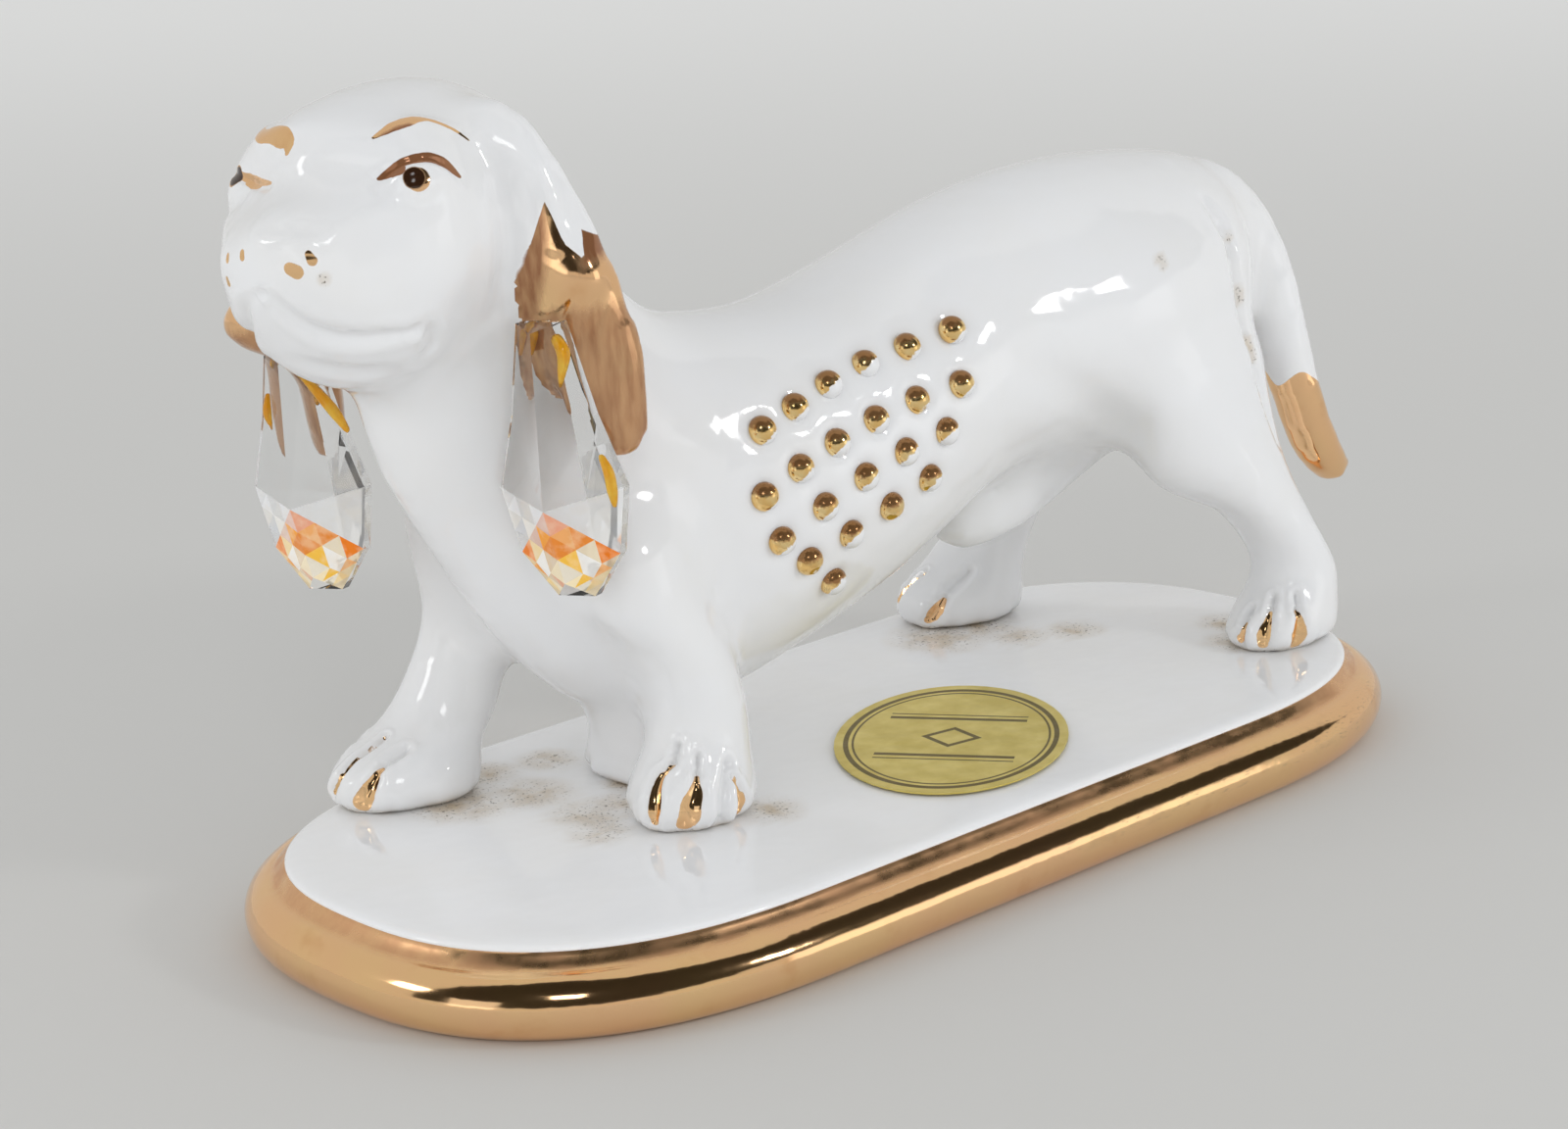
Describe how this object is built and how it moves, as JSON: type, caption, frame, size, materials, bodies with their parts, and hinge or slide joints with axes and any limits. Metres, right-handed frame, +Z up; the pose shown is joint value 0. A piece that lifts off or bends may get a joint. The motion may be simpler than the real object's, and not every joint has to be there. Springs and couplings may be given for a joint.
{
  "type": "dog figurine",
  "caption": "White glazed porcelain dog on an oval plinth with a rose-gold rim, gold bead studs on its flanks and faceted crystals under its ears; a free-standing ornament.",
  "frame": {"origin": "the point of the standing surface under the middle of the whole piece", "axes": "+Z up out of the plinth's top; the dog faces -X along the plinth's length and its left flank, the one with the sticker in front of it, is on -Y"},
  "size_m": [0.2096, 0.0928, 0.1181],
  "materials": {
    "white_glaze": "gloss",
    "rose_gold_lustre": "fired metal lustre over gloss",
    "gold_bead": "polished",
    "cut_crystal": "polished, clear",
    "gold_foil": "metallic foil, satin"
  },
  "bodies": {
    "root": {"plinth": "white_glaze", "torso": "white_glaze", "head": "white_glaze", "ear_left": "rose_gold_lustre", "ear_right": "rose_gold_lustre", "foreleg_left": "white_glaze", "foreleg_right": "white_glaze", "hindleg_left": "white_glaze", "hindleg_right": "white_glaze", "tail": "white_glaze", "support_post": "white_glaze", "crystal_left": "cut_crystal", "crystal_right": "cut_crystal", "foil_sticker": "gold_foil", "bead_left_01": "gold_bead", "bead_left_02": "gold_bead", "bead_left_03": "gold_bead", "bead_left_04": "gold_bead", "bead_left_05": "gold_bead", "bead_left_06": "gold_bead", "bead_left_07": "gold_bead", "bead_left_08": "gold_bead", "bead_left_09": "gold_bead", "bead_left_10": "gold_bead", "bead_left_11": "gold_bead", "bead_left_12": "gold_bead", "bead_left_13": "gold_bead", "bead_left_14": "gold_bead", "bead_left_15": "gold_bead", "bead_left_16": "gold_bead", "bead_left_17": "gold_bead", "bead_left_18": "gold_bead", "bead_left_19": "gold_bead", "bead_left_20": "gold_bead", "bead_left_21": "gold_bead", "bead_left_22": "gold_bead", "bead_right_01": "gold_bead", "bead_right_02": "gold_bead", "bead_right_03": "gold_bead", "bead_right_04": "gold_bead", "bead_right_05": "gold_bead", "bead_right_06": "gold_bead", "bead_right_07": "gold_bead", "bead_right_08": "gold_bead", "bead_right_09": "gold_bead", "bead_right_10": "gold_bead", "bead_right_11": "gold_bead", "bead_right_12": "gold_bead", "bead_right_13": "gold_bead", "bead_right_14": "gold_bead", "bead_right_15": "gold_bead", "bead_right_16": "gold_bead", "bead_right_17": "gold_bead", "bead_right_18": "gold_bead", "bead_right_19": "gold_bead", "bead_right_20": "gold_bead", "bead_right_21": "gold_bead", "bead_right_22": "gold_bead"}
  },
  "joints": []
}
